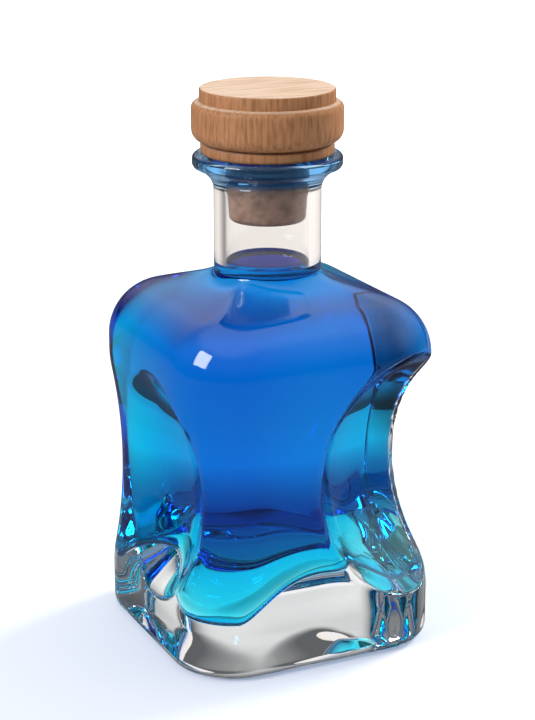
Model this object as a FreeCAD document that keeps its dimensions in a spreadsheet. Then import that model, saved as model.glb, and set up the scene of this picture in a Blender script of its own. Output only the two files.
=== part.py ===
"""Stoppered glass bottle: a square bottle with three bowls, its blue contents and a plug with a wooden head.

Millimetres, +Z up. The bottle stands on Z = 0 with the axis of its neck on the Z axis, and its front
face looks along -Y. Every size is a cell of the sheet, and every shape reads its sizes from there.
"""
import FreeCAD
import Part
import os
import re
import Sketcher

SIZES = {
    "body_width": 63.0,
    "corner_radius": 15.0,
    "shoulder_height": 81.0,
    "shoulder_radius": 13.0,
    "foot_radius": 3.0,
    "waist_height": 38.0,
    "waist_depth": 2.5,
    "waist_radius": 120.0,
    "bowl_height": 40.0,
    "bowl_radius": 26.0,
    "bowl_half_height": 31.5,
    "bowl_foot_radius": 18.0,
    "left_bowl_turn": 187.6,
    "left_bowl_depth": 9.9,
    "right_bowl_turn": 306.2,
    "right_bowl_depth": 14.5,
    "back_bowl_turn": 67.0,
    "back_bowl_depth": 12.0,
    "shoulder_wall": 1.6,
    "bowl_wall": 1.4,
    "pit_floor": 9.0,
    "pit_radius": 5.0,
    "ridge_floor": 22.0,
    "root_radius": 18.0,
    "root_rise": 4.0,
    "root_fillet": 5.0,
    "neck_radius": 12.15,
    "neck_length": 20.0,
    "bore_radius": 9.5,
    "flare_height": 4.0,
    "lip_radius": 16.9,
    "lip_height": 3.0,
    "lip_edge": 1.0,
    "fill_rise": 2.2,
    "plug_length": 15.0,
    "plug_taper": 0.9,
    "plug_tip_edge": 1.5,
    "plug_clearance": 0.05,
    "tenon_radius": 6.0,
    "tenon_length": 8.0,
    "glue_gap": 0.05,
    "ring_radius": 15.0,
    "ring_height": 2.3,
    "ring_edge": 0.8,
    "groove_depth": 1.2,
    "groove_height": 0.5,
    "band_proud": 1.8,
    "band_height": 9.0,
    "band_under_edge": 3.0,
    "band_over_edge": 1.6,
    "edge_share": 0.95,
    "top_radius": 15.2,
    "top_height": 2.9,
    "top_edge": 0.6,
}

# Heights and radii that several shapes share, worked out from the cells above. A rounded edge takes at most
# edge_share of the step that it stands on.
SHARED = {
    "half_width": "body_width / 2",
    "root_top": "shoulder_height + root_rise",
    "flare_start": "root_top + neck_length",
    "lip_bottom": "flare_start + flare_height",
    "lip_top": "lip_bottom + lip_height",
    "fill_level": "root_top + fill_rise",
    "cavity_half": "half_width - shoulder_wall",
    "cavity_top": "shoulder_height - shoulder_wall",
    "plug_tip_radius": "bore_radius - plug_taper",
    "ring_top": "lip_top + ring_height",
    "groove_radius": "ring_radius - groove_depth",
    "band_radius": "top_radius + band_proud",
    "band_bottom": "ring_top + groove_height",
    "band_top": "band_bottom + band_height",
    "head_top": "band_top + top_height",
    "band_under_curve": "min(band_under_edge; edge_share * (band_radius - groove_radius))",
    "band_over_curve": "min(band_over_edge; edge_share * band_proud)",
}

BOWL_SIDES = ("left", "right", "back")
SAME_PLACE = 1e-4


def make_sheet(doc):
    """Write the driving sizes as plain numbers and the shared heights as formulas, each with an alias."""
    sheet = doc.addObject("Spreadsheet::Sheet", "sizes")
    for row, (alias, value) in enumerate(SIZES.items(), start=1):
        sheet.set(f"A{row}", alias)
        sheet.set(f"B{row}", str(value))
        sheet.setAlias(f"B{row}", alias)
    for row, (alias, formula) in enumerate(SHARED.items(), start=len(SIZES) + 1):
        sheet.set(f"A{row}", alias)
        sheet.set(f"B{row}", f"={formula}")
        sheet.setAlias(f"B{row}", alias)
    doc.recompute()
    return sheet


def origin_plane(body, role):
    """Find one of a body's own origin planes by its role."""
    return next(feature for feature in body.Origin.OriginFeatures if feature.Role == role)


class Bottle:
    """The document, its sheet and the shapes that the sub-parts are made of."""

    def __init__(self):
        self.doc = FreeCAD.newDocument("stoppered_bottle")
        self.sheet = make_sheet(self.doc)

    def value(self, formula):
        """The number that a formula of sheet cells gives now."""
        return float(self.sheet.evalExpression(formula))

    def bound(self, formula):
        """The same formula, with each alias written as a cell of the sheet."""
        return re.sub(r"[a-z_]+", lambda word: f"sizes.{word.group()}", formula)

    def outline_sketch(self, body, name, role, corners):
        """Draw a closed outline of straight sides whose corners are pairs of formulas."""
        sketch = body.newObject("Sketcher::SketchObject", name)
        sketch.AttachmentSupport = (origin_plane(body, role), [""])
        sketch.MapMode = "FlatFace"
        points = [FreeCAD.Vector(self.value(across), self.value(along), 0) for across, along in corners]
        count = len(points)
        for side in range(count):
            sketch.addGeometry(Part.LineSegment(points[side], points[(side + 1) % count]))
        for side in range(count):
            sketch.addConstraint(Sketcher.Constraint("Coincident", side, 2, (side + 1) % count, 1))
        for side, formulas in enumerate(corners):
            for kind, formula in zip(("DistanceX", "DistanceY"), formulas):
                if formula == "0":
                    axis = -2 if kind == "DistanceX" else -1
                    sketch.addConstraint(Sketcher.Constraint("PointOnObject", side, 1, axis))
                    continue
                index = sketch.addConstraint(Sketcher.Constraint(kind, -1, 1, side, 1, self.value(formula)))
                sketch.setExpression(f"Constraints[{index}]", self.bound(formula))
        return sketch

    def turned(self, name, corners):
        """Turn a profile of (radius, height) formulas about the Z axis."""
        body = self.doc.addObject("PartDesign::Body", name)
        sketch = self.outline_sketch(body, f"{name}_profile", "XZ_Plane", corners)
        turn = body.newObject("PartDesign::Revolution", f"{name}_turn")
        turn.Profile = sketch
        turn.ReferenceAxis = (sketch, ["V_Axis"])
        turn.Angle = 360.0
        self.doc.recompute()
        return body

    def rounded(self, body, name, radius, wanted):
        """Round the edges of a body that a test picks out, with a radius bound to the sheet."""
        base = body.Tip
        names = [f"Edge{i}" for i, edge in enumerate(base.Shape.Edges, start=1) if wanted(edge)]
        fillet = body.newObject("PartDesign::Fillet", name)
        fillet.Base = (base, names)
        fillet.Radius = self.value(radius)
        fillet.setExpression("Radius", self.bound(radius))
        self.doc.recompute()
        return fillet

    def round_rim(self, body, name, edge_radius, rim_radius, rim_height):
        """Round the circular rim of a turned body that has a given radius and height."""
        radius = self.value(rim_radius)
        height = self.value(rim_height)

        def is_rim(edge):
            circle = edge.Curve
            return (
                isinstance(circle, Part.Circle)
                and abs(circle.Radius - radius) < SAME_PLACE
                and abs(circle.Center.z - height) < SAME_PLACE
                and abs(circle.Axis.z) > 1 - SAME_PLACE
            )

        self.rounded(body, name, edge_radius, is_rim)

    def rounded_block(self, name, half, corner, bottom, top, foot, shoulder):
        """A square block with round upright corners, a round foot and a round shoulder."""
        body = self.doc.addObject("PartDesign::Body", name)
        corners = [(f"-{half}", f"-{half}"), (half, f"-{half}"), (half, half), (f"-{half}", half)]
        sketch = self.outline_sketch(body, f"{name}_outline", "XY_Plane", corners)
        sketch.setExpression("AttachmentOffset.Base.z", self.bound(bottom))
        pad = body.newObject("PartDesign::Pad", f"{name}_pad")
        pad.Profile = sketch
        pad.Length = self.value(f"{top} - {bottom}")
        pad.setExpression("Length", self.bound(f"{top} - {bottom}"))
        self.doc.recompute()

        def at_height(formula):
            height = self.value(formula)
            return lambda edge: abs(edge.BoundBox.ZMin - height) + abs(edge.BoundBox.ZMax - height) < SAME_PLACE

        self.rounded(body, f"{name}_corners", corner, lambda edge: edge.BoundBox.ZLength > SAME_PLACE)
        self.rounded(body, f"{name}_foot", foot, at_height(bottom))
        self.rounded(body, f"{name}_shoulder", shoulder, at_height(top))
        return body

    def cylinder(self, name, radius, length, place):
        """A cylinder with its radius, length and placement bound to the sheet."""
        cylinder = self.doc.addObject("Part::Cylinder", name)
        cylinder.setExpression("Radius", self.bound(radius))
        cylinder.setExpression("Height", self.bound(length))
        cylinder.setExpression("Placement", place)
        return cylinder

    def fused(self, name, shapes):
        """Join shapes into one."""
        fuse = self.doc.addObject("Part::MultiFuse", name)
        fuse.Shapes = shapes
        return fuse

    def cut(self, name, base, tool):
        """Cut one shape out of another."""
        cut = self.doc.addObject("Part::Cut", name)
        cut.Base = base
        cut.Tool = tool
        return cut

    def waist(self, name, wall):
        """The four lying cylinders that draw the faces in at the waist, grown by the thickness of the glass."""
        away = "(sizes.half_width - sizes.waist_depth + sizes.waist_radius)"
        half_back = "placement(vector(0; 0; -sizes.body_width); rotationx(0))"
        made = []
        for side, turn in (("right", 0), ("back", 90), ("left", 180), ("front", 270)):
            middle = f"vector({away} * cos({turn}); {away} * sin({turn}); sizes.waist_height)"
            place = f"placement({middle}; rotationz({turn}) * rotationx(90)) * {half_back}"
            made.append(self.cylinder(f"{name}_{side}", f"waist_radius + {wall}", "2 * body_width", place))
        return self.fused(name, made)

    def bowl_middle(self, side, height):
        """The place on the upright axis of one bowl, at a height."""
        away = f"(sizes.half_width - sizes.{side}_bowl_depth + sizes.bowl_radius)"
        turn = f"sizes.{side}_bowl_turn"
        return f"placement(vector({away} * cos({turn}); {away} * sin({turn}); {height}); rotationx(0))"

    def bowls(self, name, wall):
        """The three upright ellipsoids that bite into the sides, grown by the thickness of the glass."""
        made = []
        for side in BOWL_SIDES:
            bowl = self.doc.addObject("Part::Ellipsoid", f"{name}_{side}")
            bowl.setExpression("Radius1", self.bound(f"bowl_half_height + {wall}"))
            bowl.setExpression("Radius2", self.bound(f"bowl_radius + {wall}"))
            bowl.setExpression("Radius3", self.bound(f"bowl_radius + {wall}"))
            bowl.setExpression("Placement", self.bowl_middle(side, "sizes.bowl_height"))
            made.append(bowl)
        return self.fused(name, made)

    def bowl_feet(self, name):
        """The solid glass under each bowl, where the hollow would be too thin to fill."""
        made = []
        for side in BOWL_SIDES:
            place = self.bowl_middle(side, "0")
            made.append(self.cylinder(f"{name}_{side}", "bowl_foot_radius", "bowl_height", place))
        return self.fused(name, made)

    def ridges(self):
        """Two lying cylinders, crossed under the middle, that raise the floor between its corner pits."""
        half_back = "placement(vector(0; 0; -sizes.half_width); rotationx(0))"
        made = []
        for name, turn in (("ridge_along_x", "rotationy(90)"), ("ridge_along_y", "rotationx(90)")):
            place = f"placement(vector(0; 0; 0); {turn}) * {half_back}"
            made.append(self.cylinder(name, "ridge_floor", "body_width", place))
        return self.fused("floor_ridges", made)

    def outer_glass(self):
        """The waisted block with its bowls, neck and flared lip, solid all through."""
        block = self.rounded_block(
            "block", "half_width", "corner_radius", "0", "shoulder_height", "foot_radius", "shoulder_radius"
        )
        waisted = self.cut("waisted_block", block, self.waist("outer_waist", "0"))
        bitten = self.cut("bitten_block", waisted, self.bowls("outer_bowl", "0"))
        sunk = "shoulder_height - shoulder_radius"
        neck = self.turned(
            "neck",
            [
                ("0", sunk),
                ("root_radius", sunk),
                ("root_radius", "shoulder_height"),
                ("neck_radius", "root_top"),
                ("neck_radius", "flare_start"),
                ("lip_radius", "lip_bottom"),
                ("lip_radius", "lip_top"),
                ("0", "lip_top"),
            ],
        )
        self.round_rim(neck, "neck_root_round", "root_fillet", "neck_radius", "root_top")
        self.round_rim(neck, "lip_under_round", "lip_edge", "lip_radius", "lip_bottom")
        self.round_rim(neck, "lip_over_round", "lip_edge", "lip_radius", "lip_top")
        return self.fused("outer_glass", [bitten, neck])

    def cavity(self, name):
        """The hollow: a smaller block with the same waist and bowls, a ridged floor and the bore of the neck."""
        block = self.rounded_block(
            f"{name}_block",
            "cavity_half",
            "corner_radius - shoulder_wall",
            "pit_floor",
            "cavity_top",
            "pit_radius",
            "shoulder_radius - shoulder_wall",
        )
        waisted = self.cut(f"{name}_waisted", block, self.waist(f"{name}_waist", "shoulder_wall"))
        bitten = self.cut(f"{name}_bitten", waisted, self.bowls(f"{name}_bowl", "bowl_wall"))
        footed = self.cut(f"{name}_footed", bitten, self.bowl_feet(f"{name}_foot"))
        floored = self.cut(f"{name}_floored", footed, self.ridges())
        start = "placement(vector(0; 0; sizes.shoulder_height - sizes.shoulder_radius); rotationx(0))"
        bore = self.cylinder(f"{name}_bore", "bore_radius", "lip_top - shoulder_height + 2 * shoulder_radius", start)
        return self.fused(name, [floored, bore])

    def below_level(self):
        """A plain block under the level of the contents, wider than the bottle."""
        box = self.doc.addObject("Part::Box", "below_level")
        box.setExpression("Length", self.bound("2 * body_width"))
        box.setExpression("Width", self.bound("2 * body_width"))
        box.setExpression("Height", self.bound("fill_level"))
        box.setExpression("Placement", "placement(vector(-sizes.body_width; -sizes.body_width; 0); rotationx(0))")
        return box

    def stopper_head(self):
        """The turned wooden head: a ring on the lip, a groove, a wide band, a top disc and a blind hole."""
        hole_radius = "tenon_radius + glue_gap"
        hole_top = "lip_top + tenon_length + glue_gap"
        head = self.turned(
            "stopper_head",
            [
                (hole_radius, "lip_top"),
                ("ring_radius", "lip_top"),
                ("ring_radius", "ring_top"),
                ("groove_radius", "ring_top"),
                ("groove_radius", "band_bottom"),
                ("band_radius", "band_bottom"),
                ("band_radius", "band_top"),
                ("top_radius", "band_top"),
                ("top_radius", "head_top"),
                ("0", "head_top"),
                ("0", hole_top),
                (hole_radius, hole_top),
            ],
        )
        self.round_rim(head, "ring_round", "ring_edge", "ring_radius", "lip_top")
        self.round_rim(head, "band_under_round", "band_under_curve", "band_radius", "band_bottom")
        self.round_rim(head, "band_over_round", "band_over_curve", "band_radius", "band_top")
        self.round_rim(head, "top_round", "top_edge", "top_radius", "head_top")
        return head

    def stopper_plug(self):
        """The plug: tapered in the mouth, with a tenon that is glued into the head."""
        plug = self.turned(
            "stopper_plug",
            [
                ("0", "lip_top - plug_length"),
                ("plug_tip_radius", "lip_top - plug_length"),
                ("bore_radius - plug_clearance", "lip_top"),
                ("tenon_radius", "lip_top"),
                ("tenon_radius", "lip_top + tenon_length"),
                ("0", "lip_top + tenon_length"),
            ],
        )
        self.round_rim(plug, "plug_tip_round", "plug_tip_edge", "plug_tip_radius", "lip_top - plug_length")
        return plug

    def sub_parts(self):
        """Build every sub-part and give it the label that names its file."""
        hollow = self.cavity("cavity")
        glass = self.cut("bottle", self.outer_glass(), hollow)
        contents = self.doc.addObject("Part::Common", "liquid")
        contents.Base = hollow
        contents.Tool = self.below_level()
        parts = [glass, contents, self.stopper_head(), self.stopper_plug()]
        for part in parts:
            part.Label = part.Name
        self.doc.recompute()
        return parts


def check(doc, parts):
    """Stop if any object failed, or if a sub-part is not one valid solid."""
    for item in doc.Objects:
        if "Invalid" in item.State or "Error" in item.State:
            raise RuntimeError(f"{item.Name} failed: {item.State}")
    for part in parts:
        shape = part.Shape
        if shape.isNull() or not shape.isValid() or len(shape.Solids) != 1:
            raise RuntimeError(f"{part.Label} is not one valid solid")


def main():
    """Build the document, check it and write each sub-part to its own file."""
    model = Bottle()
    parts = model.sub_parts()
    check(model.doc, parts)
    os.makedirs("parts", exist_ok=True)
    for part in parts:
        part.Shape.exportStep(f"parts/{part.Label}.step")
        print(f"{part.Label}: {part.Shape.Volume / 1000:.2f} ml, box {part.Shape.BoundBox}")


main()
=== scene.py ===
"""Looks of a stoppered square glass bottle: pinched glass, blue contents and a turned wooden stopper.

Sizes are millimetres in the bottle's own frame, +Z up, with the bottle standing on Z = 0 under the axis of
its neck and its front face towards -Y. Each mesh is turned into metres when it is made.
"""
from __future__ import annotations

import logging
import math
from dataclasses import dataclass, field
from enum import Enum

import bpy
import numpy as np
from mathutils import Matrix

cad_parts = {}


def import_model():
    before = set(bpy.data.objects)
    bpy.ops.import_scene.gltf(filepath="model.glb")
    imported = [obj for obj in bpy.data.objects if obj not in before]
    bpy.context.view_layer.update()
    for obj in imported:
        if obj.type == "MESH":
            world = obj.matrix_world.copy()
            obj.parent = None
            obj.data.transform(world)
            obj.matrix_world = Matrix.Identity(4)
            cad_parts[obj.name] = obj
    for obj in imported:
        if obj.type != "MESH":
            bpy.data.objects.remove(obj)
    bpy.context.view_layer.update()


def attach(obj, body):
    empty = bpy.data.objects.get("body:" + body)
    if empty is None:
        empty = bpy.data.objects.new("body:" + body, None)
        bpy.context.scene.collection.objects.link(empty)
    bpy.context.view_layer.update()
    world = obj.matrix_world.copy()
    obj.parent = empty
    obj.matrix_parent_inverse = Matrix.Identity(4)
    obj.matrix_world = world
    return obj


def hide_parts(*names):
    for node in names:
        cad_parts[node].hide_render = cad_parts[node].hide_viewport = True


LOG = logging.getLogger("bottle")
MM = 0.001
GLASS_INDEX = 1.52
LIQUID_INDEX = 1.345
NEUTRAL_INDEX = 1.0
NOISE_DETAIL = 3.0
Array = np.ndarray
Point = tuple[float, float, float]
Colour = tuple[float, float, float, float]
Span = tuple[float, float]
Piece = bpy.types.Object
Material = bpy.types.Material
Node = bpy.types.Node
Socket = bpy.types.NodeSocket
Tree = bpy.types.NodeTree


class Body(Enum):
    """The bodies that the pieces ride on."""

    BOTTLE = "bottle"
    STOPPER = "stopper"


class Slot(Enum):
    """The material slots of the record."""

    GLASS = "clear_glass"
    LIQUID = "blue_liquid"
    WOOD = "turned_wood"
    PLUG = "plug"


class Solid(Enum):
    """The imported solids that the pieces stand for."""

    BOTTLE = "bottle"
    LIQUID = "liquid"
    HEAD = "stopper_head"
    PLUG = "stopper_plug"


def smooth_min(first: Array, second: Array, blend: float) -> Array:
    """The smaller of two arrays, rounded off where they differ by less than the blend length.

    Formula: min(a, b) - max(k - |a - b|, 0)^2 / (4 k).

    Args:
        first: one array of lengths.
        second: the other array of lengths.
        blend: the length k over which the corner is rounded off.

    Returns:
        The rounded minimum.
    """
    overlap = np.maximum(blend - np.abs(first - second), 0.0)
    return np.minimum(first, second) - overlap**2 / (4.0 * blend)


def smooth_max(first: Array, second: Array, blend: float) -> Array:
    """The larger of two arrays, rounded off in the same way as the smaller one."""
    return -smooth_min(-first, -second, blend)


def arc(count: int, start: float, stop: float) -> Array:
    """Evenly spaced angles in degrees, given in radians, without the first one."""
    return np.radians(np.linspace(start, stop, count + 1)[1:])


def bezier(points: list[Array], steps: Array) -> Array:
    """A cubic curve: (1-t)^3 a + 3 (1-t)^2 t b + 3 (1-t) t^2 c + t^3 d.

    Args:
        points: the four control values a, b, c and d, one for each column.
        steps: the values of t, one row each.

    Returns:
        One row for each step.
    """
    step = steps[:, None]
    rest = 1.0 - step
    first, second, third, last = points
    return rest**3 * first + 3 * rest**2 * step * second + 3 * rest * step**2 * third + step**3 * last


def closed_mesh(name: str, grid: Array, slots: Array | None = None) -> Piece:
    """Close a grid of rings into a mesh, with its first and last rings drawn together into poles.

    Args:
        name: the name of the object and of its mesh.
        grid: points in millimetres, shaped (rings, columns, 3), whose columns run round the Z axis.
        slots: the material slot of each band between two rings, or None for one slot.

    Returns:
        The new object, linked to the scene.
    """
    rings, columns, _ = grid.shape
    inner = grid[1:-1].reshape(-1, 3)
    vertices = np.vstack([grid[:1, 0], inner, grid[-1:, 0]]) * MM
    ring, column = np.meshgrid(np.arange(rings - 3), np.arange(columns), indexing="ij")
    following = (column + 1) % columns
    near = 1 + ring * columns
    far = near + columns
    quads = np.stack([near + column, near + following, far + following, far + column], axis=-1).reshape(-1, 4)
    around = np.arange(columns)
    beside = (around + 1) % columns
    last_ring = 1 + (rings - 3) * columns
    last = len(vertices) - 1
    start_fan = np.stack([np.zeros_like(around), beside + 1, around + 1], axis=-1)
    end_fan = np.stack([last_ring + around, last_ring + beside, np.full_like(around, last)], axis=-1)
    mesh = bpy.data.meshes.new(name)
    mesh.from_pydata(vertices.tolist(), [], start_fan.tolist() + quads.tolist() + end_fan.tolist())
    mesh.polygons.foreach_set("use_smooth", np.ones(len(mesh.polygons), dtype=bool))
    if slots is not None:
        mesh.polygons.foreach_set("material_index", np.repeat(slots, columns).astype(np.int32))
    mesh.update()
    piece = bpy.data.objects.new(name, mesh)
    bpy.context.scene.collection.objects.link(piece)
    return piece


def turned_grid(profile: Array, columns: int) -> Array:
    """Carry a profile of (radius, height) round the Z axis: (r cos a, r sin a, z) for each angle a.

    Args:
        profile: the points of the profile, shaped (points, 2).
        columns: the number of even angles.

    Returns:
        The grid, shaped (points, columns, 3).
    """
    angle = np.linspace(0.0, 2.0 * math.pi, columns, endpoint=False)
    radius = profile[:, :1]
    height = np.repeat(profile[:, 1:], columns, axis=1)
    return np.stack([radius * np.cos(angle), radius * np.sin(angle), height], axis=-1)


def rounded_profile(corners: list[Point], steps: int = 8) -> Array:
    """Draw a profile through corners, each rounded by an arc that is tangent to both of its sides.

    Formula: the arc of radius q at a corner with unit sides u and v and half angle h runs between the two
    points q / tan(h) along u and v, about the centre q / sin(h) along their middle line.

    Args:
        corners: radius, height and rounding radius of each corner, in order.
        steps: the number of spans in each arc.

    Returns:
        The points of the profile, shaped (points, 2).
    """
    points: list[Array] = []
    places = np.array([corner[:2] for corner in corners])
    for index, (place, corner) in enumerate(zip(places, corners)):
        rounding = corner[2]
        if rounding == 0.0:
            points.append(place[None])
            continue
        back = places[index - 1] - place
        back = back / np.linalg.norm(back)
        ahead = places[index + 1] - place
        ahead = ahead / np.linalg.norm(ahead)
        half = math.acos(float(np.clip(back @ ahead, -1.0, 1.0))) / 2.0
        middle = (back + ahead) / np.linalg.norm(back + ahead)
        centre = place + middle * rounding / math.sin(half)
        first = place + back * rounding / math.tan(half) - centre
        last = place + ahead * rounding / math.tan(half) - centre
        sweep = math.pi - 2.0 * half
        part = np.linspace(0.0, 1.0, steps + 1)[:, None]
        turn = (np.sin((1 - part) * sweep) * first + np.sin(part * sweep) * last) / math.sin(sweep)
        points.append(centre + turn)
    return np.vstack(points)


def filled_in(profile: Array, longest: float) -> Array:
    """Add points to a profile so that no span is longer than a given length.

    Args:
        profile: the points of the profile, shaped (points, 2).
        longest: the longest span that may stay.

    Returns:
        The same profile with more points.
    """
    spans = np.linalg.norm(np.diff(profile, axis=0), axis=1)
    counts = np.maximum(np.ceil(spans / longest).astype(int), 1)
    start = np.repeat(np.arange(len(spans)), counts)
    within = np.concatenate([np.arange(count) / count for count in counts])
    points = profile[start] + within[:, None] * (profile[start + 1] - profile[start])
    return np.vstack([points, profile[-1:]])


class Nodes:
    """Wires the node tree of one material, group or world."""

    def __init__(self, tree: Tree) -> None:
        """Keep the tree that nodes are added to."""
        self.tree = tree

    def add(self, kind: str, inputs: dict[str | int, object] | None = None, **settings: object) -> Node:
        """Add a node of a kind, set its properties and fill its inputs.

        Args:
            kind: the node's type name.
            inputs: a socket or a value for each input, by its name or its number.
            settings: its properties by name.

        Returns:
            The new node.
        """
        node = self.tree.nodes.new(kind)
        for name, value in settings.items():
            setattr(node, name, value)
        self.feed(node, inputs or {})
        return node

    def feed(self, node: Node, inputs: dict[str | int, object]) -> None:
        """Fill a node's inputs, each by a link from a socket or with a value of its own.

        Args:
            node: the node to fill.
            inputs: a socket or a value for each input, by its name or its number.
        """
        for name, value in inputs.items():
            if isinstance(value, Socket):
                self.tree.links.new(value, node.inputs[name])
            else:
                node.inputs[name].default_value = value

    def coordinates(self, kind: str) -> Socket:
        """The texture coordinates of a kind, such as Object."""
        return self.add("ShaderNodeTexCoord").outputs[kind]

    def upward(self, vector: Socket) -> Socket:
        """The Z part of a vector."""
        return self.add("ShaderNodeSeparateXYZ", {"Vector": vector}).outputs["Z"]

    def calculated(self, operation: str, first: object, second: object) -> Socket:
        """The result of an operation such as MULTIPLY on two numbers or sockets."""
        return self.add("ShaderNodeMath", {0: first, 1: second}, operation=operation).outputs[0]

    def facing(self, vector: Socket, direction: Point) -> Socket:
        """How far a vector points in a direction, as their dot product."""
        node = self.add("ShaderNodeVectorMath", {0: vector, 1: direction}, operation="DOT_PRODUCT")
        return node.outputs["Value"]

    def ranged(self, value: Socket, reach: Span, result: Span = (0.0, 1.0)) -> Socket:
        """Carry a value from the range reach into the range result, and hold it at the ends."""
        ends = {"From Min": reach[0], "From Max": reach[1], "To Min": result[0], "To Max": result[1]}
        return self.add("ShaderNodeMapRange", {"Value": value, **ends}).outputs["Result"]

    def mixed(self, share: Socket, first: object, second: object) -> Socket:
        """Mix two colours, each given as a value or a socket, with a share of the second one."""
        return self.add("ShaderNodeMix", {0: share, 6: first, 7: second}, data_type="RGBA").outputs[2]

    def toned(self, value: Socket, stops: list[tuple[float, Colour]]) -> Socket:
        """Turn a value into a colour along a ramp.

        Args:
            value: the place on the ramp.
            stops: the place and the colour of each stop, in order.

        Returns:
            The colour.
        """
        ramp = self.add("ShaderNodeValToRGB", {"Fac": value})
        elements = ramp.color_ramp.elements
        for index, (place, colour) in enumerate(stops):
            if index < len(elements):
                elements[index].position = place
            else:
                elements.new(place)
            elements[index].color = colour
        return ramp.outputs["Color"]

    def noise(self, vector: Socket, scale: object) -> Socket:
        """Noise with a few levels of detail, at a scale given as a number or a socket."""
        inputs = {"Vector": vector, "Scale": scale, "Detail": NOISE_DETAIL}
        return self.add("ShaderNodeTexNoise", inputs).outputs["Fac"]

    def speckled(self, group: Tree, scale: float, stretch: Point) -> Socket:
        """Place the shared speckle at a scale, stretched along the axes."""
        node = self.add("ShaderNodeGroup", {"Scale": scale, "Stretch": stretch}, node_tree=group)
        return node.outputs["Value"]

    def bumped(self, height: Socket, strength: float, depth: float) -> Socket:
        """Turn a height from 0 to 1 into a normal, as a bump with a depth in millimetres."""
        inputs = {"Strength": strength, "Distance": depth * MM, "Height": height}
        return self.add("ShaderNodeBump", inputs).outputs["Normal"]


def new_material(name: str) -> tuple[Material, Nodes, Node]:
    """Make a material.

    Args:
        name: the name of the material.

    Returns:
        The material, the wiring of its tree and its Principled shader.
    """
    material = bpy.data.materials.new(name)
    material.use_nodes = True
    return material, Nodes(material.node_tree), material.node_tree.nodes["Principled BSDF"]


def speckle_group() -> Tree:
    """Make the fine grain that several materials share: noise on stretched Object coordinates.

    Returns:
        The node group, which puts out the noise as a value.
    """
    group = bpy.data.node_groups.new("speckle", "ShaderNodeTree")
    group.interface.new_socket("Scale", in_out="INPUT", socket_type="NodeSocketFloat")
    group.interface.new_socket("Stretch", in_out="INPUT", socket_type="NodeSocketVector")
    group.interface.new_socket("Value", in_out="OUTPUT", socket_type="NodeSocketFloat")
    nodes = Nodes(group)
    given = nodes.add("NodeGroupInput").outputs
    place = nodes.coordinates("Object")
    stretched = nodes.add("ShaderNodeVectorMath", {0: place, 1: given["Stretch"]}, operation="MULTIPLY")
    value = nodes.noise(stretched.outputs["Vector"], given["Scale"])
    nodes.add("NodeGroupOutput", {"Value": value})
    return group


@dataclass(frozen=True)
class Glass:
    """Fire-polished clear glass. The wetted face bends light only as far as glass and liquid differ.

    The lip may have blue light painted into its colour, for the light that the glass carries up from the
    contents.
    """

    name: str
    index: float
    speckle: Tree
    lip_painted_light: Colour | None = None
    painted_light_reach: Span = (105.5 * MM, 107.5 * MM)
    tint: Colour = (0.985, 0.995, 0.99, 1.0)
    gloss: float = 0.25
    ripple: float = 0.012
    ripple_depth: float = 2.0
    ripple_scale: float = 30.0
    ripple_stretch: Point = (1.0, 1.0, 0.5)

    def material(self) -> Material:
        """Make the clear material, with the slow ripple that blown glass has.

        Returns:
            The material.
        """
        material, nodes, shader = new_material(self.name)
        colour = self.tint
        # Painted light: the lip's colour is painted blue for the light that the glass carries up from the
        # contents.
        if self.lip_painted_light is not None:
            lip = nodes.ranged(nodes.upward(nodes.coordinates("Object")), self.painted_light_reach)
            colour = nodes.mixed(lip, self.tint, self.lip_painted_light)
        waves = nodes.speckled(self.speckle, self.ripple_scale, self.ripple_stretch)
        nodes.feed(
            shader,
            {
                "Base Color": colour,
                "Roughness": 0.0,
                "IOR": self.index,
                "Specular IOR Level": self.gloss,
                "Transmission Weight": 1.0,
                "Normal": nodes.bumped(waves, self.ripple, self.ripple_depth),
            },
        )
        return material


@dataclass(frozen=True)
class Liquid:
    """Clear blue contents that take red out of the light at once, and green more slowly."""

    name: str
    index: float
    tint: Colour = (1.0, 1.0, 1.0, 1.0)
    absorbs: Colour = (0.0, 0.908, 0.984, 1.0)
    density: float = 350.0

    def material(self) -> Material:
        """Make the clear material with its coloured volume.

        Returns:
            The material.
        """
        material, nodes, shader = new_material(self.name)
        nodes.feed(
            shader, {"Base Color": self.tint, "Roughness": 0.0, "IOR": self.index, "Transmission Weight": 1.0}
        )
        volume = nodes.add("ShaderNodeVolumeAbsorption", {"Color": self.absorbs, "Density": self.density})
        nodes.feed(material.node_tree.nodes["Material Output"], {"Volume": volume.outputs["Volume"]})
        return material


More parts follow.
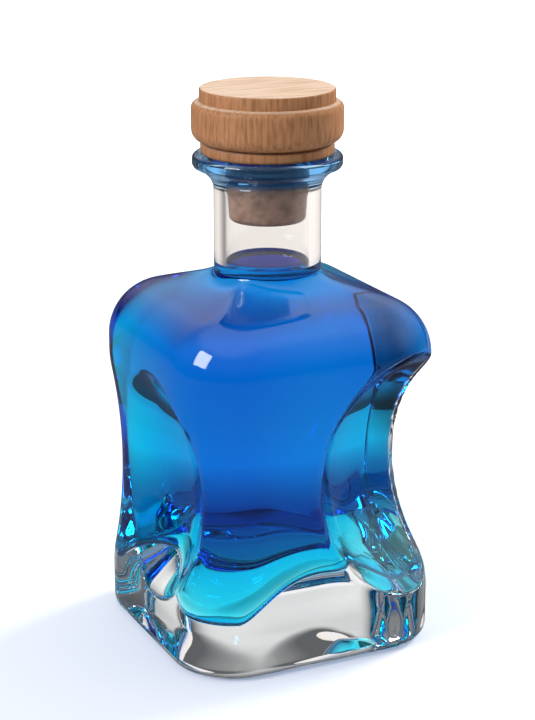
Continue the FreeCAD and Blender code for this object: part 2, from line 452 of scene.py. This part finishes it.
@dataclass(frozen=True)
class TurnedWood:
    """Pale close-grained wood, turned and sanded: flecked sides and a sawn top with straight grain, painted
    paler for the light from above.
    """

    name: str
    speckle: Tree
    side_dark: Colour = (0.27, 0.117, 0.047, 1.0)
    side_pale: Colour = (0.43, 0.20, 0.088, 1.0)
    side_reach: Span = (0.3, 0.58)
    fleck_scale: float = 1500.0
    fleck_stretch: Point = (1.0, 1.0, 0.12)
    fleck_bump: float = 0.15
    fleck_depth: float = 0.3
    lit_top_dark: Colour = (0.46, 0.28, 0.16, 1.0)
    lit_top_pale: Colour = (0.66, 0.49, 0.37, 1.0)
    top_reach: Span = (0.3, 0.55)
    lit_top_slope: Span = (0.75, 0.95)
    grain_turn: float = 25.3
    grain_scale: float = 1400.0
    grain_stretch: Point = (0.05, 1.0, 0.3)
    roughness: float = 0.55
    gloss: float = 0.3

    def sides(self, nodes: Nodes, flecks: Socket) -> Socket:
        """Colour of the turned sides, from the flecks that run up them."""
        return nodes.toned(flecks, list(zip(self.side_reach, (self.side_dark, self.side_pale))))

    def top(self, nodes: Nodes) -> Socket:
        """Colour of the sawn top: straight grain, from noise that is stretched along the grain, in colours
        painted paler for the light from above.

        Args:
            nodes: the wiring of the material.

        Returns:
            The colour.
        """
        turned = nodes.add(
            "ShaderNodeMapping",
            {
                "Vector": nodes.coordinates("Object"),
                "Rotation": (0.0, 0.0, math.radians(self.grain_turn)),
                "Scale": self.grain_stretch,
            },
        )
        grain = nodes.noise(turned.outputs["Vector"], self.grain_scale)
        return nodes.toned(grain, list(zip(self.top_reach, (self.lit_top_dark, self.lit_top_pale))))

    def material(self) -> Material:
        """Make the wood: flecks that run up the sides, and fine lines where it faces upwards, painted paler
        there for the light from above.

        Returns:
            The material.
        """
        material, nodes, shader = new_material(self.name)
        flecks = nodes.speckled(self.speckle, self.fleck_scale, self.fleck_stretch)
        shape = nodes.add("ShaderNodeNewGeometry")
        # Painted light: faces that look upwards take the paler top colours, as if lit from above.
        level = nodes.ranged(nodes.upward(shape.outputs["Normal"]), self.lit_top_slope)
        nodes.feed(
            shader,
            {
                "Base Color": nodes.mixed(level, self.sides(nodes, flecks), self.top(nodes)),
                "Normal": nodes.bumped(flecks, self.fleck_bump, self.fleck_depth),
                "Roughness": self.roughness,
                "Specular IOR Level": self.gloss,
            },
        )
        return material


@dataclass(frozen=True)
class PlugStuff:
    """Matte moulded plug with a fine mottle."""

    name: str
    speckle: Tree
    dark: Colour = (0.50, 0.28, 0.20, 1.0)
    pale: Colour = (0.78, 0.48, 0.36, 1.0)
    mottle_reach: Span = (0.3, 0.65)
    mottle_scale: float = 500.0
    mottle_stretch: Point = (1.0, 1.0, 1.0)
    roughness: float = 0.45

    def material(self) -> Material:
        """Make the plug's finish.

        Returns:
            The material.
        """
        material, nodes, shader = new_material(self.name)
        mottle = nodes.speckled(self.speckle, self.mottle_scale, self.mottle_stretch)
        colour = nodes.toned(mottle, list(zip(self.mottle_reach, (self.dark, self.pale))))
        nodes.feed(shader, {"Base Color": colour, "Roughness": self.roughness})
        return material


@dataclass(frozen=True)
class PaleFloor:
    """Pale matt floor that is white to the camera, apart from its shadow and a painted blue shade near the
    bottle.

    Seen through the glass it glows less under the bottle, in a painted blue shade for the shadow that the
    contents tint, and it is painted darker away from the bright side. In reflections it stays dark.
    """

    name: str
    bright_side: Point
    pale: Colour = (0.62, 0.62, 0.63, 1.0)
    mirrored: Colour = (0.1, 0.1, 0.11, 1.0)
    unlit: Colour = (0.0, 0.0, 0.0, 1.0)
    # Painted shade: dark blue under the bottle, seen through the glass.
    under: tuple[float, Colour] = (0.14, (0.05, 0.16, 0.28, 1.0))
    beside: tuple[float, Colour] = (0.32, (0.80, 0.80, 0.80, 1.0))
    beyond: tuple[float, Colour] = (0.7, (0.84, 0.76, 0.70, 1.0))
    ramp_length: float = 400.0
    side_reach: Span = (0.0, 0.4)
    side_light: Span = (0.2, 1.0)
    # Painted blue shade: the floor's glow near the bottle, for the blue-tinted shadow that the contents cast.
    painted_blue_shade: Colour = (0.24, 0.28, 0.37, 1.0)
    far_glow: Colour = (0.7, 0.7, 0.7, 1.0)
    glow_reach: Span = (150.0 * MM, 600.0 * MM)
    roughness: float = 0.9

    def through(self, nodes: Nodes, path: Node, away: Socket) -> Socket:
        """The glow that shows through the glass, with painted shade under the bottle and away from the bright
        side.

        Args:
            nodes: the wiring of the material.
            path: its Light Path node.
            away: the distance from the bottle.

        Returns:
            The colour of the glow.
        """
        share = nodes.calculated("MULTIPLY", away, 1.0 / (self.ramp_length * MM))
        glow = nodes.toned(share, [self.under, self.beside, self.beyond])
        ray = nodes.add("ShaderNodeVectorMath", {0: nodes.coordinates("Object")}, operation="NORMALIZE")
        facing = nodes.facing(ray.outputs["Vector"], self.bright_side)
        # Painted shade: the glow fades away from the bright side.
        side = nodes.ranged(facing, self.side_reach, self.side_light)
        lit = nodes.calculated("MULTIPLY", path.outputs["Is Transmission Ray"], side)
        return nodes.mixed(lit, self.unlit, glow)

    def material(self) -> Material:
        """Make the floor's finish.

        Returns:
            The material.
        """
        material, nodes, shader = new_material(self.name)
        path = nodes.add("ShaderNodeLightPath")
        away = nodes.add("ShaderNodeVectorMath", {0: nodes.coordinates("Object")}, operation="LENGTH")
        distance = away.outputs["Value"]
        # Painted blue shade near the bottle, fading out into the even far glow.
        around = nodes.mixed(nodes.ranged(distance, self.glow_reach), self.painted_blue_shade, self.far_glow)
        glow = nodes.mixed(path.outputs["Is Camera Ray"], self.through(nodes, path, distance), around)
        nodes.feed(
            shader,
            {
                "Base Color": nodes.mixed(path.outputs["Is Glossy Ray"], self.pale, self.mirrored),
                "Roughness": self.roughness,
                "Specular IOR Level": 0.0,
                "Emission Color": glow,
                "Emission Strength": 1.0,
            },
        )
        return material


@dataclass(frozen=True)
class Bowl:
    """One pinched side: an upright ellipsoid cut into the block, round in plan."""

    facing: float
    depth: float
    radius: float = 26.0
    half_height: float = 31.5
    height: float = 40.0
    rounding: float = 0.8
    beyond: float = 1000.0

    def reach(self, angle: Array, height: Array, half: float, wall: Array) -> Array:
        """How far from the axis the bowl lets the glass stand, along each angle.

        Formula: at height z the bowl is a circle of radius q = R sqrt(1 - ((z - h) / H)^2) about a point at
        the distance d from the axis, and a ray turned by t from it meets the circle at
        d cos(t) - sqrt(q^2 - d^2 sin(t)^2). Where the root would be of a negative number, the ray passes
        beside the circle, and the root of its size is added instead, so that the rims can be rounded off
        evenly.

        Args:
            angle: the ray's angle about the axis, in radians.
            height: the height of each ray.
            half: half the width of the block.
            wall: the thickness by which the glass grows into the hollow behind the bowl.

        Returns:
            The lengths along the rays.
        """
        rise = (height - self.height) / (self.half_height + wall)
        circle = (self.radius + wall) * np.sqrt(np.maximum(1.0 - rise**2, 0.0))
        away = half - self.depth + self.radius
        turn = angle - math.radians(self.facing)
        room = circle**2 - (away * np.sin(turn)) ** 2
        met = away * np.cos(turn) - np.sign(room) * np.sqrt(np.abs(room))
        return np.where(np.cos(turn) > 0.0, met, self.beyond)


def join_frame(
    piece: Piece, materials: list[Material], body: Body, solid: Solid
) -> None:
    """Give a piece its materials, its body and the solid that it stands for.

    Args:
        piece: the piece to dress.
        materials: its materials, one for each slot of its mesh.
        body: the body that it rides on.
        solid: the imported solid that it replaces.
    """
    for material in materials:
        piece.data.materials.append(material)
    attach(piece, body.value)
    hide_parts(solid.value)


@dataclass
class GlassBottle:
    """The glass: a waisted square block with three bowls, a ridged thick floor, a neck and a flared lip."""

    half: float = 31.5
    corner: float = 15.0
    least_corner: float = 0.5
    shoulder_height: float = 81.0
    shoulder_round: float = 13.0
    shoulder_turn: float = 75.0
    sweep_run: float = 0.62
    sweep_rise: float = 0.75
    foot_round: float = 3.0
    punt: float = 0.5
    waist: float = 38.0
    waist_depth: float = 2.5
    waist_radius: float = 120.0
    waist_blend: float = 0.5
    bowls: tuple[Bowl, ...] = (
        Bowl(facing=187.6, depth=9.9, rounding=2.5),
        Bowl(facing=306.5, depth=14.5, half_height=28.0, height=41.5, rounding=4.0),
        Bowl(facing=67.0, depth=12.0, rounding=6.0),
    )
    fan: float = 3.0
    wall: float = 1.0
    bowl_wall: float = 0.9
    pit_floor: float = 12.0
    pit_round: float = 5.0
    ridge: float = 20.5
    ridge_blend: float = 7.0
    root_top: float = 86.0
    root_drop: float = 1.5
    neck: float = 12.15
    neck_gap: float = 2.0
    bore: float = 9.5
    bore_top: float = 107.5
    flare_start: float = 104.0
    flare_top: float = 109.2
    flare_turn: float = 62.0
    flare_share: float = 0.93
    lip: float = 16.9
    lip_under: float = 0.6
    lip_under_edge: float = 0.5
    lip_edge: float = 1.0
    lip_top: float = 112.0
    # Painted blue light on the lip, for the light that the glass carries up from the contents.
    lip_painted_light: Colour = (0.2, 0.55, 1.0, 1.0)
    lip_span: float = 1.2
    mouth_edge: float = 0.8
    mouth_depth: float = 3.0
    level: float = 87.2
    level_margin: float = 1.0
    columns: int = 240
    crowding: float = 0.45
    fan_rays: int = 15
    base_rings: int = 13
    edge_rings: int = 8
    wall_rings: int = 120
    wall_crowding: float = 1.4
    shoulder_rings: int = 24
    sweep_rings: int = 18
    flare_rings: int = 14
    bore_rings: int = 15
    floor_rings: int = 29
    hollow_rings: int = 60
    angle: Array = field(init=False)

    def __post_init__(self) -> None:
        """Space the columns closer together at the corners: a + c sin(4 a) / 4 for even angles a."""
        even = np.linspace(0.0, 2.0 * math.pi, self.columns, endpoint=False)
        self.angle = even + self.crowding * np.sin(4.0 * even) / 4.0

    def section(self, height: Array, shrink: Array, wall: float, bowl_wall: float) -> Array:
        """The body at each height, as its mean radius over a narrow fan of rays about each column.

        Formula: the sum of w(s) r(a + s) over the turns s of the fan, with weights w in the shape of cos(s)^2
        that add up to 1. The fan rounds off the rims of the bowls, where a single ray would graze the glass.

        Args:
            height: the height of each ring.
            shrink: how far each ring's sides stand in from the block's own sides.
            wall: the thickness taken off the block.
            bowl_wall: the thickness taken off the bowls.

        Returns:
            One row of radii for each ring.
        """
        height = np.asarray(height, dtype=float).reshape(len(height), -1)
        shrink = np.asarray(shrink, dtype=float).reshape(len(shrink), -1)
        share = np.linspace(-1.0, 1.0, self.fan_rays + 2)[1:-1]
        weight = np.cos(0.5 * math.pi * share) ** 2
        weight = weight / weight.sum()
        turns = np.radians(self.fan * share)
        radii = [
            part * self.plan(self.angle + turn, height, shrink, wall, bowl_wall)
            for turn, part in zip(turns, weight)
        ]
        return np.sum(radii, axis=0)

    def plan(self, angle: Array, height: Array, shrink: Array, wall: float, bowl_wall: float) -> Array:
        """The body at each height, as its radius along each ray.

        Formula: a square of half width w with corners of radius c meets a ray with direction (u, v), both
        positive, at w / max(u, v) on its flats, and on its corner arcs at s + sqrt(s^2 - 2 b^2 + c^2), where
        b = w - c and s = b (u + v). The waist draws w and c in by the depth of an arc, and the bowls then cut
        the block back, with their edges rounded off.

        Args:
            angle: the angle of each ray about the axis, in radians.
            height: the height of each ring.
            shrink: how far each ring's sides stand in from the block's own sides.
            wall: the thickness taken off the block.
            bowl_wall: the thickness taken off the bowls.

        Returns:
            One row of radii for each ring.
        """
        sag = np.sqrt(self.waist_radius**2 - (height - self.waist) ** 2) - self.waist_radius
        drawn = smooth_max(self.waist_depth + sag, np.zeros_like(height), self.waist_blend)
        half = self.half - wall - shrink - drawn
        corner = np.maximum(self.corner - wall - shrink - drawn, self.least_corner)
        across = np.abs(np.cos(angle))
        along = np.abs(np.sin(angle))
        longer = np.maximum(across, along)
        shorter = np.minimum(across, along)
        inner = half - corner
        share = inner * (across + along)
        round_reach = share + np.sqrt(np.maximum(share**2 - 2.0 * inner**2 + corner**2, 0.0))
        radius = np.where(shorter * half <= longer * inner, half / longer, round_reach)
        for bowl in self.bowls:
            cut = bowl.reach(angle, height, self.half, bowl_wall + shrink)
            radius = smooth_min(radius, cut, bowl.rounding)
        return radius

    def rings(self, radius: Array, height: Array) -> Array:
        """Points at each radius along the columns: (r cos a, r sin a, z)."""
        height = np.broadcast_to(height, radius.shape)
        return np.stack([radius * np.cos(self.angle), radius * np.sin(self.angle), height], axis=-1)

    def shoulder(self, wall: float, bowl_wall: float, tube: float, tube_height: float) -> Array:
        """The shoulder's round and the sweep from it up into the neck.

        Formula: the round is a quarter turn cut short at shoulder_turn. From there a cubic curve leaves along
        the round's own slope, for sweep_run of the way in, and ends upright on the neck.

        Args:
            wall: the thickness taken off the block.
            bowl_wall: the thickness taken off the bowls.
            tube: the radius of the neck or of its bore.
            tube_height: the height where the curve ends.

        Returns:
            Rings from the wall up to the neck.
        """
        radius = self.shoulder_round - wall
        turn = arc(self.shoulder_rings, 0.0, self.shoulder_turn)
        heights = self.shoulder_height - self.shoulder_round + radius * np.sin(turn)
        reach = self.section(heights, radius * (1.0 - np.cos(turn)), wall, bowl_wall)
        edge = reach[-1]
        run = (edge - tube) * self.sweep_run
        start = np.full_like(edge, heights[-1])
        bend = start + math.tan(math.radians(90.0 - self.shoulder_turn)) * run
        upright = np.full_like(edge, tube)
        foot = tube_height - self.sweep_rise * (tube_height - bend)
        steps = np.linspace(0.0, 1.0, self.sweep_rings + 1)[1:]
        sweep = bezier([edge, edge - run, upright, upright], steps)
        climb = bezier([start, bend, foot, np.full_like(edge, tube_height)], steps)
        return np.concatenate([self.rings(reach, heights[:, None]), self.rings(sweep, climb)])

    def outside(self) -> Array:
        """Rings of the outer face, from the middle of the underside up to the root of the neck.

        Formula: the underside rises to the punt's height p as p (1 - s^2)^2 at the share s of its width, and
        the foot is a quarter round. The rings of the wall crowd together towards the foot.

        Returns:
            The rings, shaped (rings, columns, 3).
        """
        foot = self.section(np.zeros(1), np.full(1, self.foot_round), 0.0, 0.0)
        share = np.linspace(0.0, 1.0, self.base_rings)[:, None]
        base = self.rings(share * foot, self.punt * (1.0 - share**2) ** 2)
        turn = arc(self.edge_rings, 0.0, 90.0)
        heights = self.foot_round * (1.0 - np.cos(turn))
        shrink = self.foot_round * (1.0 - np.sin(turn))
        edge = self.rings(self.section(heights, shrink, 0.0, 0.0), heights[:, None])
        rise = np.linspace(0.0, 1.0, self.wall_rings + 1)[1:] ** self.wall_crowding
        heights = self.foot_round + rise * (self.shoulder_height - self.shoulder_round - self.foot_round)
        walls = self.rings(self.section(heights, np.zeros_like(heights), 0.0, 0.0), heights[:, None])
        return np.concatenate([base, edge, walls, self.shoulder(0.0, 0.0, self.neck, self.root_top)])

    def lip_profile(self) -> Array:
        """The outline from the neck over the flare and the lip into the bore.

        Formula: the flare is the first flare_turn of a quarter of an ellipse that leaves the neck upright.

        Returns:
            The points of the outline, shaped (points, 2).
        """
        turn = arc(self.flare_rings, 0.0, self.flare_turn)
        spread = (1.0 - np.cos(turn)) / (1.0 - math.cos(turn[-1])) * self.flare_share
        climb = np.sin(turn) / math.sin(turn[-1])
        flare_radius = self.neck + (self.lip - self.neck) * spread
        flare_height = self.flare_start + (self.flare_top - self.flare_start) * climb
        rim = rounded_profile(
            [
                (flare_radius[-1], flare_height[-1], 0.0),
                (self.lip, self.flare_top + self.lip_under, self.lip_under_edge),
                (self.lip, self.lip_top, self.lip_edge),
                (self.bore, self.lip_top, self.mouth_edge),
                (self.bore, self.lip_top - self.mouth_depth, 0.0),
            ]
        )
        neck = np.array([[self.neck, self.root_top + self.neck_gap], [self.neck, self.flare_start]])
        flare = np.stack([flare_radius, flare_height], axis=-1)
        return filled_in(np.vstack([neck, flare, rim[1:]]), self.lip_span)

    def floor(self, radius: Array) -> Array:
        """Height of the hollow's floor along the columns.

        Formula: the larger of the pit's level and of two round ridges of radius q that cross in the middle,
        sqrt(q^2 - x^2) and sqrt(q^2 - y^2), with the corners between them rounded off.

        Args:
            radius: the distance from the axis, along each column.

        Returns:
            The heights.
        """
        across = radius * np.cos(self.angle)
        along = radius * np.sin(self.angle)
        ridge_x = np.sqrt(np.maximum(self.ridge**2 - across**2, 0.0))
        ridge_y = np.sqrt(np.maximum(self.ridge**2 - along**2, 0.0))
        ridges = smooth_max(ridge_x, ridge_y, self.ridge_blend)
        return smooth_max(ridges, np.full_like(across, self.pit_floor), self.ridge_blend)

    def cavity(self, gap: float = 0.0) -> Array:
        """Rings of the hollow, from the middle of its floor up to the bore.

        Formula: the floor runs out to a round of radius q, where a ring at turn t stands q (1 - sin t) in
        from the wall and q (1 - cos t) above the floor. The walls rise from there in even steps.

        Args:
            gap: how far the rings stand clear of the glass.

        Returns:
            The rings, shaped (rings, columns, 3).
        """
        wall = self.wall + gap
        bowl_wall = self.bowl_wall + gap
        curve = self.pit_round
        foot = self.section(np.full(1, self.pit_floor + curve), np.zeros(1), wall, bowl_wall)[0]
        base = self.floor(foot) + gap
        inner = self.section(base[None], np.full(1, curve), wall, bowl_wall)[0]
        floor_radius = np.linspace(0.0, 1.0, self.floor_rings)[:, None] * inner
        turn = arc(self.edge_rings, 0.0, 90.0)[:, None]
        lift = curve * (1.0 - np.cos(turn))
        edge_radius = self.section(base + lift, curve * (1.0 - np.sin(turn)), wall, bowl_wall)
        edge_height = lift + gap + self.floor(edge_radius)
        start = edge_height[-1]
        stop = self.shoulder_height - self.shoulder_round
        wall_height = start + np.linspace(0.0, 1.0, self.hollow_rings + 1)[1:, None] * (stop - start)
        wall_radius = self.section(wall_height, np.zeros_like(wall_height), wall, bowl_wall)
        return np.concatenate(
            [
                self.rings(floor_radius, self.floor(floor_radius) + gap),
                self.rings(edge_radius, edge_height),
                self.rings(wall_radius, wall_height),
                self.shoulder(wall, bowl_wall, self.bore - gap, self.root_top - self.root_drop),
            ]
        )

    def build(self) -> Piece:
        """Make the glass as one closed shell, with the wetted part of its inner face in a slot of its own.

        Returns:
            The glass.
        """
        outer = self.outside()
        profile = self.lip_profile()
        lip = self.rings(np.repeat(profile[:, :1], self.columns, axis=1), profile[:, 1:])
        above = np.linspace(self.bore_top, self.level + self.level_margin, self.bore_rings)
        bore = np.append(above, self.level)
        bore_rings = self.rings(np.full((len(bore), self.columns), self.bore), bore[:, None])
        grid = np.concatenate([outer, lip, bore_rings, self.cavity()[::-1]])
        dry = len(outer) + len(lip) + len(bore) - 1
        slots = (np.arange(len(grid) - 1) >= dry).astype(int)
        return closed_mesh("glass_bottle", grid, slots)

    def dress(self, glass: Piece, speckle: Tree) -> None:
        """Give the glass its dry and its wetted finish, and join it to the frame.

        Args:
            glass: the glass to dress.
            speckle: the shared grain.
        """
        dry = Glass("clear_glass", GLASS_INDEX, speckle, self.lip_painted_light).material()
        wet = Glass("wetted_glass", GLASS_INDEX / LIQUID_INDEX, speckle).material()
        join_frame(glass, [dry, wet], Body.BOTTLE, Solid.BOTTLE)


@dataclass
class Contents:
    """The blue liquid: the bottle's hollow up to its level, with a curved rim where it climbs the bore."""

    bottle: GlassBottle
    gap: float = 0.03
    climb: float = 0.9
    climb_width: float = 1.3
    surface_rings: int = 25

    def build(self) -> Piece:
        """Make the contents as one closed mesh, with the free surface in a slot of its own.

        Formula: the free surface stands at level + climb * exp((r - R) / width) at radius r in a bore of R.

        Returns:
            The contents.
        """
        bottle = self.bottle
        hollow = bottle.cavity(self.gap)
        radius = bottle.bore - self.gap
        reach = radius * np.sqrt(np.linspace(1.0, 0.0, self.surface_rings))[:, None]
        surface = bottle.level + self.climb * np.exp((reach - radius) / self.climb_width)
        top = bottle.rings(np.repeat(reach, bottle.columns, axis=1), surface)
        grid = np.concatenate([hollow, top])
        slots = (np.arange(len(grid) - 1) >= len(hollow)).astype(int)
        return closed_mesh("blue_contents", grid, slots)

    def dress(self, liquid: Piece) -> None:
        """Give the contents a finish inside the glass and one at the free surface, and join the frame.

        Args:
            liquid: the contents to dress.
        """
        # The wetted glass bends the light for both, so the sides of the contents bend none.
        inside = Liquid("blue_liquid", NEUTRAL_INDEX).material()
        surface = Liquid("blue_liquid_surface", LIQUID_INDEX).material()
        join_frame(liquid, [inside, surface], Body.BOTTLE, Solid.LIQUID)


@dataclass
class Stopper:
    """The wooden head and the plug below it."""

    lip_top: float = 112.0
    seat_gap: float = 0.02
    plug_length: float = 15.0
    plug_top: float = 9.45
    plug_top_edge: float = 0.05
    plug_tip: float = 8.6
    plug_tip_edge: float = 1.5
    ring: float = 15.0
    ring_under_edge: float = 0.8
    ring_top: float = 114.3
    ring_over_edge: float = 0.3
    groove: float = 13.8
    groove_edge: float = 0.2
    band: float = 17.0
    band_bottom: float = 114.8
    band_under_edge: float = 2.8
    band_top: float = 123.8
    band_over_edge: float = 1.6
    top: float = 15.2
    top_root_edge: float = 0.15
    top_height: float = 126.7
    top_edge: float = 0.5
    longest_span: float = 0.8
    columns: int = 192

    def turned(self, name: str, corners: list[Point]) -> Piece:
        """Turn a rounded outline about the axis.

        Args:
            name: the name of the piece.
            corners: radius, height and rounding radius of each corner, from the axis below to the axis above.

        Returns:
            The piece.
        """
        outline = filled_in(rounded_profile(corners), self.longest_span)
        return closed_mesh(name, turned_grid(outline, self.columns))

    def build_head(self) -> Piece:
        """Turn the head: a ring on the lip, a groove, a wide band and a top disc.

        Returns:
            The head.
        """
        seat = self.lip_top + self.seat_gap
        return self.turned(
            "wooden_head",
            [
                (0.0, seat, 0.0),
                (self.ring, seat, self.ring_under_edge),
                (self.ring, self.ring_top, self.ring_over_edge),
                (self.groove, self.ring_top, self.groove_edge),
                (self.groove, self.band_bottom, self.groove_edge),
                (self.band, self.band_bottom, self.band_under_edge),
                (self.band, self.band_top, self.band_over_edge),
                (self.top, self.band_top, self.top_root_edge),
                (self.top, self.top_height, self.top_edge),
                (0.0, self.top_height, 0.0),
            ],
        )

    def build_plug(self) -> Piece:
        """Turn the tapered plug.

        Returns:
            The plug.
        """
        tip = self.lip_top - self.plug_length
        return self.turned(
            "tapered_plug",
            [
                (0.0, tip, 0.0),
                (self.plug_tip, tip, self.plug_tip_edge),
                (self.plug_top, self.lip_top, self.plug_top_edge),
                (0.0, self.lip_top, 0.0),
            ],
        )

    def dress(self, head: Piece, plug: Piece, speckle: Tree) -> None:
        """Give the head and the plug their finishes, and join them to the frame.

        Args:
            head: the wooden head.
            plug: the plug.
            speckle: the shared grain.
        """
        wood = TurnedWood("turned_wood", speckle).material()
        join_frame(head, [wood], Body.STOPPER, Solid.HEAD)
        stuff = PlugStuff("plug", speckle).material()
        join_frame(plug, [stuff], Body.STOPPER, Solid.PLUG)


@dataclass(frozen=True)
class Lamp:
    """A square soft lamp that looks at the middle of the bottle, and may show in the glass."""

    name: str
    place: Point
    size: float
    power: float
    glint: bool
    aim: Point = (0.0, 0.0, 60.0)

    def build(self) -> None:
        """Hang the lamp and turn it towards its aim."""
        data = bpy.data.lights.new(self.name, "AREA")
        data.size = self.size * MM
        data.energy = self.power
        lamp = bpy.data.objects.new(self.name, data)
        lamp.location = tuple(value * MM for value in self.place)
        across, along, above = (value - goal for value, goal in zip(self.place, self.aim))
        lamp.rotation_euler = (math.atan2(math.hypot(across, along), above), 0.0, math.atan2(across, -along))
        lamp.visible_glossy = self.glint
        lamp.visible_transmission = self.glint
        bpy.context.scene.collection.objects.link(lamp)


@dataclass(frozen=True)
class Surroundings:
    """White behind the bottle, round to its bright side and above it, darker elsewhere."""

    bright_side: Point
    colour: Colour = (1.0, 1.0, 1.0, 1.0)
    side_reach: Span = (0.0, 0.4)
    side_light: Span = (0.22, 1.0)
    low_reach: Span = (0.1, 0.55)
    low_light: Span = (0.12, 1.0)
    above_reach: Span = (0.6, 0.85)
    soft_light: float = 0.19

    def build(self) -> None:
        """Make the world. Matte faces get at least the soft light, and the camera sees plain white."""
        world = bpy.data.worlds.new("studio")
        world.use_nodes = True
        bpy.context.scene.world = world
        nodes = Nodes(world.node_tree)
        ray = nodes.coordinates("Generated")
        side = nodes.ranged(nodes.facing(ray, self.bright_side), self.side_reach, self.side_light)
        rise = nodes.upward(ray)
        low = nodes.ranged(rise, self.low_reach, self.low_light)
        wall = nodes.calculated("MULTIPLY", side, low)
        bright = nodes.calculated("MAXIMUM", wall, nodes.ranged(rise, self.above_reach))
        path = nodes.add("ShaderNodeLightPath")
        soft = nodes.calculated("MULTIPLY", path.outputs["Is Diffuse Ray"], self.soft_light)
        lit = nodes.calculated("MAXIMUM", bright, soft)
        level = nodes.calculated("MAXIMUM", lit, path.outputs["Is Camera Ray"])
        nodes.feed(world.node_tree.nodes["Background"], {"Color": self.colour, "Strength": level})


@dataclass
class Studio:
    """The pale floor, the soft light round the bottle and the camera."""

    azimuth: float = 25.3
    distance: float = 436.88
    camera_height: float = 198.77
    pitch: float = 17.19
    focal_pixels: float = 1988.38
    long_side_pixels: float = 720.0
    sensor: float = 36.0
    floor_size: float = 12000.0
    window_turn: float = 38.0
    most_bounces: int = 24
    mirror_bounces: int = 12
    lamps: tuple[Lamp, ...] = (
        Lamp("left_softbox", (-1050.0, -120.0, 740.0), size=560.0, power=12.0, glint=True),
        Lamp("right_softbox", (760.0, 200.0, 440.0), size=300.0, power=9.0, glint=False),
    )

    def heading(self, turn: float = 0.0) -> Point:
        """The level direction that the camera looks in, turned by some degrees to the right."""
        angle = math.radians(self.azimuth + turn)
        return math.sin(angle), math.cos(angle), 0.0

    def build_camera(self) -> None:
        """Place the camera where the photograph was taken from."""
        data = bpy.data.cameras.new("camera")
        data.sensor_width = self.sensor
        data.lens = self.focal_pixels / self.long_side_pixels * self.sensor
        camera = bpy.data.objects.new("camera", data)
        side, ahead, _ = self.heading()
        camera.location = (-side * self.distance * MM, -ahead * self.distance * MM, self.camera_height * MM)
        camera.rotation_euler = (math.radians(90.0 - self.pitch), 0.0, -math.radians(self.azimuth))
        bpy.context.scene.collection.objects.link(camera)
        bpy.context.scene.camera = camera

    def build_floor(self) -> None:
        """Lay the floor: one square about the bottle's foot."""
        reach = self.floor_size * MM / 2.0
        corners = [(-reach, -reach, 0.0), (reach, -reach, 0.0), (reach, reach, 0.0), (-reach, reach, 0.0)]
        mesh = bpy.data.meshes.new("floor")
        mesh.from_pydata(corners, [], [(0, 1, 2, 3)])
        floor = bpy.data.objects.new("floor", mesh)
        bpy.context.scene.collection.objects.link(floor)
        mesh.materials.append(PaleFloor("pale_floor", self.heading(self.window_turn)).material())

    def build(self) -> None:
        """Set up everything that isn't part of the bottle."""
        scene = bpy.context.scene
        scene.view_settings.view_transform = "Standard"
        scene.cycles.max_bounces = self.most_bounces
        scene.cycles.transmission_bounces = self.most_bounces
        scene.cycles.glossy_bounces = self.mirror_bounces
        scene.cycles.transparent_max_bounces = self.most_bounces
        self.build_camera()
        self.build_floor()
        Surroundings(self.heading(self.window_turn)).build()
        for lamp in self.lamps:
            lamp.build()


def main() -> None:
    """Build and dress the bottle, its contents and its stopper, report them, and set up the studio."""
    logging.basicConfig(level=logging.INFO, format="%(name)s: %(message)s")
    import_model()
    speckle = speckle_group()
    bottle = GlassBottle()
    glass = bottle.build()
    bottle.dress(glass, speckle)
    contents = Contents(bottle)
    liquid = contents.build()
    contents.dress(liquid)
    stopper = Stopper()
    head = stopper.build_head()
    plug = stopper.build_plug()
    stopper.dress(head, plug, speckle)
    for piece in (glass, liquid, head, plug):
        LOG.info("%s: %d faces", piece.name, len(piece.data.polygons))
    Studio().build()


if __name__ == "__main__":
    main()
